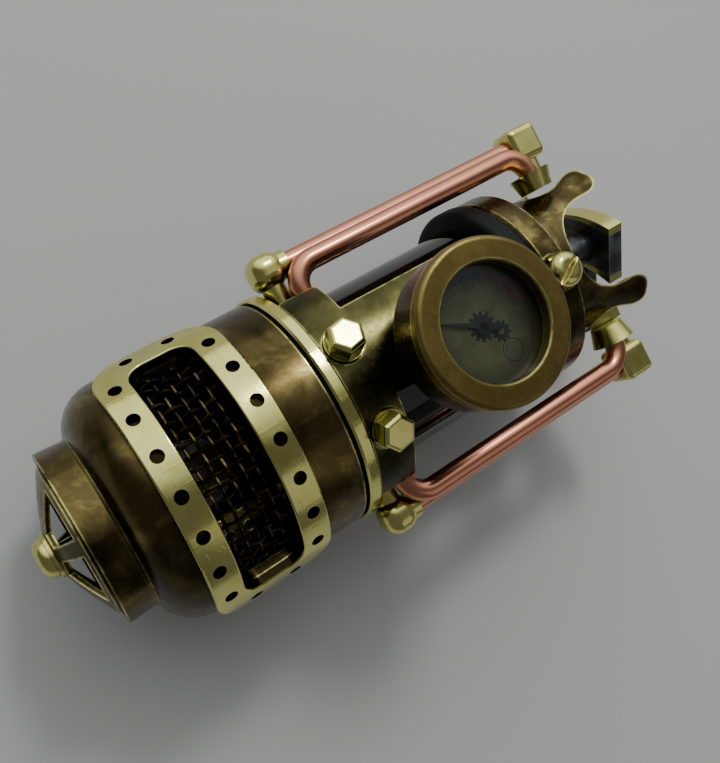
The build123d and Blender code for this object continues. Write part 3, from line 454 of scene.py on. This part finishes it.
def wire_bronze(name, finish):
    """Dark brown wire in blotches of two patinas."""
    material, tree, shader = start_material(name)
    mottle = use(tree, "Mottle", {"Fineness": 500.0})
    base = mixed(tree, mottle["Blotches"], finish.dark_patina_and_shade, finish.patina_brown)
    tree.links.new(base, shader.inputs["Base Color"])
    shader.inputs["Metallic"].default_value = 1.0
    shader.inputs["Roughness"].default_value = 0.24
    return material


# ---------------------------------------------------------------- everything else
def clear_glass(name, tint, gleam=0.5):
    """Tinted glass; gleam is how strongly its surface mirrors."""
    material, tree, shader = start_material(name)
    shader.inputs["Base Color"].default_value = (*tint, 1)
    shader.inputs["Roughness"].default_value = 0.0
    shader.inputs["IOR"].default_value = 1.47
    shader.inputs["Specular IOR Level"].default_value = gleam
    shader.inputs["Transmission Weight"].default_value = 1.0
    return material


def black_rubber(name, finish):
    """Matt rubber with a dusty bloom."""
    material, tree, shader = start_material(name)
    mottle = use(tree, "Mottle", {"Fineness": 300.0})
    dusty = [channel * 1.8 for channel in finish.rubber]
    share = maths(tree, "MULTIPLY", mottle["Specks"], 0.5)
    tree.links.new(mixed(tree, share, finish.rubber, dusty), shader.inputs["Base Color"])
    tree.links.new(scaled(tree, mottle["Specks"], 0.2, 0.58), shader.inputs["Roughness"])
    shader.inputs["Specular IOR Level"].default_value = 0.2
    bumped(tree, shader, mottle["Specks"], 0.3, 0.02 * mm)
    return material


def dial_paper(name, finish):
    """Aged printed paper, finely ruled, with a painted shadow darkening it towards its rim."""
    material, tree, shader = start_material(name)
    place = own_place(tree)
    mottle = use(tree, "Mottle", {"Fineness": 450.0})
    apart = add(
        tree, "ShaderNodeVectorMath", {0: place, 1: tuple(dial_centre)}, operation="DISTANCE"
    )
    # Painted shadow: the dial darkens towards its rim, where the bezel shades it.
    painted_rim_shadow = ramp(tree, apart.outputs["Value"], 3.4 * mm, 7.0 * mm)
    turned = add(tree, "ShaderNodeMapping", {"Vector": place, "Rotation": (0, 0, 0.62)})
    ruled = add(
        tree, "ShaderNodeTexWave", {"Vector": turned.outputs["Vector"], "Scale": 900.0},
        bands_direction="Y",
    )
    # Colour of the painted rim shadow.
    dark = [channel * 0.25 for channel in finish.paper]
    aged = [channel * share for channel, share in zip(finish.paper, (0.62, 0.66, 0.6))]
    ground = mixed(tree, mottle["Blotches"], finish.paper, aged)
    lined = mixed(tree, maths(tree, "MULTIPLY", ruled.outputs["Fac"], 0.35), ground, aged)
    shaded = mixed(tree, maths(tree, "MULTIPLY", painted_rim_shadow, 0.8), lined, dark)
    tree.links.new(shaded, shader.inputs["Base Color"])
    shader.inputs["Roughness"].default_value = 0.7
    bumped(tree, shader, mottle["Specks"], 0.2, 0.01 * mm)
    return material


def printed_ink(name, tint):
    """Ink with a slightly uneven edge and gloss."""
    material, tree, shader = start_material(name)
    mottle = use(tree, "Mottle", {"Fineness": 700.0})
    pale = [min(1.0, channel * 1.9 + 0.01) for channel in tint]
    share = maths(tree, "MULTIPLY", mottle["Blotches"], 0.6)
    tree.links.new(mixed(tree, share, tint, pale), shader.inputs["Base Color"])
    shader.inputs["Roughness"].default_value = 0.55
    return material


def wick_cotton(name, finish):
    """Cotton yarn, charred at its lit end."""
    material, tree, shader = start_material(name)
    place = own_place(tree)
    mottle = use(tree, "Mottle", {"Fineness": 900.0})
    along = add(tree, "ShaderNodeSeparateXYZ", {0: place}).outputs["X"]
    burnt_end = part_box("wick")[0].x
    burnt = ramp(tree, along, burnt_end + 3.0 * mm, burnt_end + 0.5 * mm)
    shade = [channel * 0.7 for channel in finish.cotton]
    yarn = mixed(tree, mottle["Specks"], finish.cotton, shade)
    tree.links.new(mixed(tree, burnt, yarn, (0.01, 0.009, 0.008)), shader.inputs["Base Color"])
    shader.inputs["Roughness"].default_value = 0.9
    shader.inputs["Sheen Weight"].default_value = 0.3
    bumped(tree, shader, mottle["Specks"], 0.5, 0.05 * mm)
    return material


# ---------------------------------------------------------------- piece helpers
def dress(material, *nodes):
    """Gives frame nodes a material."""
    for name in nodes:
        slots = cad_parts[name].data.materials
        slots.clear()
        slots.append(material)


def smooth(mesh):
    """Shades a mesh smooth, apart from its sharp edges."""
    for face in mesh.polygons:
        face.use_smooth = True
    mesh.set_sharp_from_angle(angle=sharp_angle)


def place_piece(bm, name, body, materials, nodes=()):
    """Turns a bmesh into a piece that rides on a body and stands for frame nodes."""
    bmesh.ops.recalc_face_normals(bm, faces=bm.faces)
    mesh = bpy.data.meshes.new(name)
    bm.to_mesh(mesh)
    bm.free()
    smooth(mesh)
    for material in materials:
        mesh.materials.append(material)
    piece = bpy.data.objects.new(name, mesh)
    bpy.context.scene.collection.objects.link(piece)
    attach(piece, body)
    if nodes:
        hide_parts(*nodes)
    return piece


def wires(context, name, wire_r, routes):
    """Mesh of round wires that follow routes."""
    curve = bpy.data.curves.new(name, "CURVE")
    curve.dimensions = "3D"
    curve.bevel_depth = wire_r
    curve.bevel_resolution = 1
    curve.use_fill_caps = True
    for route in routes:
        spline = curve.splines.new("POLY")
        spline.points.add(len(route) - 1)
        for point, place in zip(spline.points, route):
            point.co = (*place, 1)
    holder = bpy.data.objects.new(name, curve)
    context.scene.collection.objects.link(holder)
    context.view_layer.update()
    made = holder.evaluated_get(context.evaluated_depsgraph_get())
    mesh = bpy.data.meshes.new_from_object(made)
    bpy.data.objects.remove(holder)
    bpy.data.curves.remove(curve)
    return mesh


def room(stage):
    """World that is pale on the window's side and dark on the other."""
    world = bpy.data.worlds.new("Room")
    world.use_nodes = True
    tree = world.node_tree
    way = add(tree, "ShaderNodeTexCoord").outputs["Generated"]
    window = Vector((0.30, 0.84, 0.45)).normalized()
    agree = add(
        tree, "ShaderNodeVectorMath", {0: way, 1: tuple(window)}, operation="DOT_PRODUCT"
    )
    lit = ramp(tree, agree.outputs["Value"], 0.40, 0.95)
    ground = tree.nodes["Background"]
    tree.links.new(mixed(tree, lit, stage.room_dark, stage.room_light), ground.inputs["Color"])
    ground.inputs["Strength"].default_value = stage.room_power
    return world


# ---------------------------------------------------------------- operators
class LIGHTER_OT_metals(bpy.types.Operator):
    """Patina, polish, copper and steel on the frame's own nodes"""

    bl_idname = "lighter.metals"
    bl_label = "Metals"

    def execute(self, context):
        finish = context.scene.lighter_finish
        for build in (edge_wear_group, hollow_group, mottle_group, scratch_group, axis_group):
            build()
        brown = finish.patina_brown
        dress(patinated_brass("Cap patina", finish, brown, wear=0.6, gold=0.5, matt=0.21),
              "cap_shell", "vent_spider")
        dress(patinated_brass("Saddle patina", finish, finish.olive, wear=0.45, gold=0.2),
              "saddle_plate", "tank_collar", "gauge_stem")
        dress(patinated_brass("Gauge patina", finish, brown, wear=0.8, gold=0.15, blotch=0.5),
              "gauge_case")
        dress(patinated_brass("Bezel patina", finish, finish.bezel, dark=0.3, wear=1.3,
                              fineness=260.0, gold=0.2, blotch=0.35, matt=0.36), "gauge_bezel")
        dress(patinated_brass("Claw patina", finish, brown, wear=1.2, gold=0.9), "claw_crown",
              "tank_end_cap")
        dress(patinated_brass("Band patina", finish, brown, wear=1.1, gold=0.6, fineness=150.0),
              "collar_band")
        dress(polished_brass("Frame brass", finish, reach=frame_r), "window_frame")
        # The reach paints the flange's deck inside the cap dark, as painted shade.
        dress(polished_brass("Flange brass", finish, grime=0.6, reach=flange_r - 0.5 * mm),
              "neck_flange")
        dress(polished_brass("Fastener brass", finish, grime=1.0, roughness=0.17, corners=1.8 * mm),
              "saddle_bolts", "saddle_washers", "band_screw", "vent_rivet", "rivet_washer",
              "filler_screw", "plug_grips")
        dress(patinated_brass("Vent brass", finish, brown, wear=1.2, gold=0.9, dark=0.8),
              "vent_wheel")
        dress(polished_brass("Elbow brass", finish, grime=1.0, roughness=0.2),
              *(f"{part}_{side}" for part in ("ball_elbow", "block_elbow", "rail_bracket")
                for side in ("left", "right")))
        dress(copper_tube("Copper", finish),
              *(f"{part}_{side}" for part in ("rear_rail", "front_rail")
                for side in ("left", "right")))
        dress(patinated_brass("Burner brass", finish, brown, gold=0.3, blotch=0.6),
              "wheel_yoke", "flint_tube", "flint_follower", "wick_tube", "chimney",
              "gauge_movement", "gauge_arbor")
        dress(dark_steel("Steel", finish), "wheel_axle", "spark_wheel", "thumb_wheels",
              "flint_spring", "flint_plug", "plug_plate", "cross_rod")
        dress(dark_steel("Flint", finish, roughness=0.6), "flint")
        return {"FINISHED"}


class LIGHTER_OT_seals(bpy.types.Operator):
    """Rubber seals and both glasses"""

    bl_idname = "lighter.seals"
    bl_label = "Rubber and glass"

    def execute(self, context):
        finish = context.scene.lighter_finish
        dress(black_rubber("Rubber", finish), "rubber_ring", "rim_gasket", "spigot_oring",
              "glass_seal_front", "glass_seal_rear")
        dress(clear_glass("Tank glass", finish.tank_tint), "tank_glass")
        dress(clear_glass("Gauge glass", (0.95, 0.97, 0.95), gleam=0.15), "gauge_glass")
        return {"FINISHED"}


class LIGHTER_OT_gauze(bpy.types.Operator):
    """Plain weave of wires behind the window"""

    bl_idname = "lighter.gauze"
    bl_label = "Gauze"

    def execute(self, context):
        weave = context.scene.lighter_gauze
        middle_r = gauze_outer_r - 2 * weave.wire_r
        half_turn = math.asin(min(1.0, gauze_high.y / gauze_outer_r))
        across = int(half_turn * middle_r / weave.pitch)
        along = int((gauze_high.x - gauze_low.x) / 2 / weave.pitch)
        centre_x = (gauze_high.x + gauze_low.x) / 2

        def crossing(cell_x, cell_turn, over):
            radius = middle_r + over * weave.wire_r
            turn = cell_turn * weave.pitch / middle_r
            return (
                centre_x + cell_x * weave.pitch, radius * math.sin(turn),
                axis_height + radius * math.cos(turn),
            )

        def cells(count):
            return [step / weave.samples - count for step in range(2 * count * weave.samples + 1)]

        routes = [
            [crossing(row, cell, math.cos(math.pi * (cell + row))) for cell in cells(across)]
            for row in range(-along, along + 1)
        ]
        routes += [
            [crossing(cell, column, -math.cos(math.pi * (cell + column))) for cell in cells(along)]
            for column in range(-across, across + 1)
        ]
        bm = bmesh.new()
        bm.from_mesh(wires(context, "gauze_wires", weave.wire_r, routes))
        place_piece(bm, "gauze_weave", "cap",
                    [wire_bronze("Wire", context.scene.lighter_finish)], ["gauze"])
        return {"FINISHED"}


class LIGHTER_OT_wick(bpy.types.Operator):
    """Round cotton braid through the burner"""

    bl_idname = "lighter.wick"
    bl_label = "Wick"

    def execute(self, context):
        braid = context.scene.lighter_wick
        low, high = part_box("wick")
        centre = (low + high) / 2
        length_x = high.x - low.x
        middle_r = (high.y - low.y) / 2 - 1.5 * braid.strand_r
        steps = round(2 * braid.strands * braid.samples * length_x / braid.lay)
        routes = []
        for way in (-1, 1):
            for strand in range(braid.strands):
                route = []
                for step in range(steps + 1):
                    wound = 2 * math.pi * step / steps * length_x / braid.lay
                    turn = way * wound + 2 * math.pi * strand / braid.strands
                    over = way * math.cos(braid.strands * wound)
                    radius = middle_r + 0.5 * braid.strand_r * over
                    route.append((
                        low.x + length_x * step / steps, centre.y + radius * math.cos(turn),
                        centre.z + radius * math.sin(turn),
                    ))
                routes.append(route)
        bm = bmesh.new()
        bmesh.ops.create_cone(
            bm, cap_ends=True, segments=24, radius1=middle_r, radius2=middle_r,
            depth=length_x - 0.4 * mm,
            matrix=Matrix.Translation(centre) @ Matrix.Rotation(math.pi / 2, 4, "Y"),
        )
        bm.from_mesh(wires(context, "wick_strands", braid.strand_r, routes))
        place_piece(bm, "wick_braid", "tank",
                    [wick_cotton("Cotton", context.scene.lighter_finish)], ["wick"])
        return {"FINISHED"}


class LIGHTER_OT_dial(bpy.types.Operator):
    """Paper dial with its scale, marks and printed wheels"""

    bl_idname = "lighter.dial"
    bl_label = "Dial"

    def execute(self, context):
        dial = context.scene.lighter_dial
        finish = context.scene.lighter_finish
        dress(dial_paper("Dial paper", finish), "gauge_dial")
        inks = [printed_ink(title, tint) for title, tint in (
            ("Cold ink", dial.cold), ("Middle ink", dial.mild), ("Hot ink", dial.hot),
            ("Black ink", dial.ink))]
        dress(inks[-1], "gauge_needle")
        bm = bmesh.new()
        print_height = dial_top + 0.02 * mm

        def sector(centre, inner_r, outer_r, start, end, ink):
            known = set(bm.faces)
            first = [
                bm.verts.new((centre.x + radius * math.cos(math.radians(start)),
                              centre.y + radius * math.sin(math.radians(start)), print_height))
                for radius in (inner_r, outer_r)
            ]
            turn = math.radians(end) - math.radians(start)
            bmesh.ops.spin(
                bm, geom=[*first, bm.edges.new(first)], cent=centre, axis=(0, 0, 1), angle=turn,
                steps=max(2, int(turn / math.radians(3))),
            )
            for face in bm.faces:
                if face not in known:
                    face.material_index = ink

        def printed_wheel(centre, radius, teeth, ink):
            tooth = 360 / teeth
            bore_r, root_r = radius * 0.30, radius * 0.78
            sector(centre, bore_r, root_r, 0, 360, ink)
            for number in range(teeth):
                start = number * tooth
                sector(centre, root_r, radius, start, start + tooth * 0.5, ink)

        middle = Vector((dial_centre.x, dial_centre.y, print_height))
        inner, outer = dial.scale_r - dial.band / 2, dial.scale_r + dial.band / 2
        scale_end, scale_start = 4, 205
        cold, mild, hot, black = range(len(inks))
        sector(middle, inner, outer, 118, scale_start, cold)
        sector(middle, inner, outer, 62, 116, mild)
        sector(middle, inner, outer, scale_end, 60, hot)
        for number in range(dial.marks):
            turn = scale_end + number * ((scale_start - scale_end) / (dial.marks - 1))
            reach = 0.9 * mm if number % 4 == 0 else 0.5 * mm
            sector(middle, inner - reach, inner, turn - 0.5, turn + 0.5, black)
        sector(middle, outer + 0.1 * mm, outer + 0.2 * mm, -70, 250, black)
        printed_wheel(middle, 1.75 * mm, 12, black)
        printed_wheel(middle + Vector((1.9, -1.5, 0)) * mm, 1.25 * mm, 10, black)
        small = middle + Vector((2.2, -4.0, 0)) * mm
        sector(small, 1.25 * mm, 1.35 * mm, 0, 360, black)
        sector(small, 0.75 * mm, 0.95 * mm, 20, 250, cold)
        place_piece(bm, "dial_print", "tank", inks)
        return {"FINISHED"}


class LIGHTER_OT_stage(bpy.types.Operator):
    """Pale floor, soft lights and the camera"""

    bl_idname = "lighter.stage"
    bl_label = "Stage"

    def execute(self, context):
        stage = context.scene.lighter_stage
        bm = bmesh.new()
        floor_reach = 6.0
        bmesh.ops.create_grid(bm, x_segments=1, y_segments=1, size=floor_reach)
        mesh = bpy.data.meshes.new("floor")
        bm.to_mesh(mesh)
        bm.free()
        material, tree, shader = start_material("Floor")
        grain = noise(tree, own_place(tree), 1400, 4)
        darker = [channel * 0.96 for channel in stage.floor]
        tree.links.new(mixed(tree, grain, stage.floor, darker), shader.inputs["Base Color"])
        shader.inputs["Roughness"].default_value = 0.75
        mesh.materials.append(material)
        floor = bpy.data.objects.new("floor", mesh)
        context.scene.collection.objects.link(floor)

        context.scene.world = room(stage)
        aim = Vector((0, 0, axis_height))
        for name, spot, size, power in (
            ("key", (0.14, 0.22, 0.31), 0.07, stage.key_power),
            ("fill", (0.15, -0.27, 0.26), 0.25, stage.fill_power),
        ):
            light = bpy.data.lights.new(name, "AREA")
            light.shape = "SQUARE"
            light.size = size
            light.energy = power
            lamp = bpy.data.objects.new(name, light)
            lamp.location = spot
            lamp.rotation_mode = "QUATERNION"
            lamp.rotation_quaternion = (aim - Vector(spot)).to_track_quat("-Z", "Y")
            context.scene.collection.objects.link(lamp)

        camera = bpy.data.cameras.new("camera")
        camera.lens = stage.lens
        camera.sensor_width = 36
        camera.clip_start, camera.clip_end = 0.005, 20
        eye = bpy.data.objects.new("camera", camera)
        look = Vector((
            math.cos(stage.dip) * math.cos(stage.bearing),
            math.cos(stage.dip) * math.sin(stage.bearing), -math.sin(stage.dip),
        ))
        level = look.cross(Vector((0, 0, 1))).normalized()
        right = math.cos(stage.roll) * level + math.sin(stage.roll) * level.cross(look)
        turned = Matrix((right, right.cross(look), -look)).transposed().to_4x4()
        target = Vector((0.15, -0.57, 15.8)) * mm
        eye.matrix_world = Matrix.Translation(target - stage.distance * look) @ turned
        context.scene.collection.objects.link(eye)
        context.scene.camera = eye
        return {"FINISHED"}


class LIGHTER_PT_panel(bpy.types.Panel):
    """Lists the steps in the sidebar"""

    bl_label = "Lighter"
    bl_space_type = "VIEW_3D"
    bl_region_type = "UI"
    bl_category = "Lighter"

    def draw(self, context):
        for step in steps:
            self.layout.operator(step.bl_idname)


steps = (
    LIGHTER_OT_metals, LIGHTER_OT_seals, LIGHTER_OT_gauze, LIGHTER_OT_wick, LIGHTER_OT_dial,
    LIGHTER_OT_stage,
)
groups = {
    "lighter_finish": LighterFinish, "lighter_gauze": LighterGauze,
    "lighter_wick": LighterWick, "lighter_dial": LighterDial, "lighter_stage": LighterStage,
}


def register():
    for settings in groups.values():
        bpy.utils.register_class(settings)
    for name, settings in groups.items():
        setattr(bpy.types.Scene, name, PointerProperty(type=settings))
    for step in (*steps, LIGHTER_PT_panel):
        bpy.utils.register_class(step)


def unregister():
    for step in (LIGHTER_PT_panel, *reversed(steps)):
        bpy.utils.unregister_class(step)
    for name, settings in groups.items():
        delattr(bpy.types.Scene, name)
        bpy.utils.unregister_class(settings)


def main():
    register()
    bpy.ops.lighter.metals()
    bpy.ops.lighter.seals()
    bpy.ops.lighter.gauze()
    bpy.ops.lighter.wick()
    bpy.ops.lighter.dial()
    bpy.ops.lighter.stage()


if __name__ == "__main__":
    main()
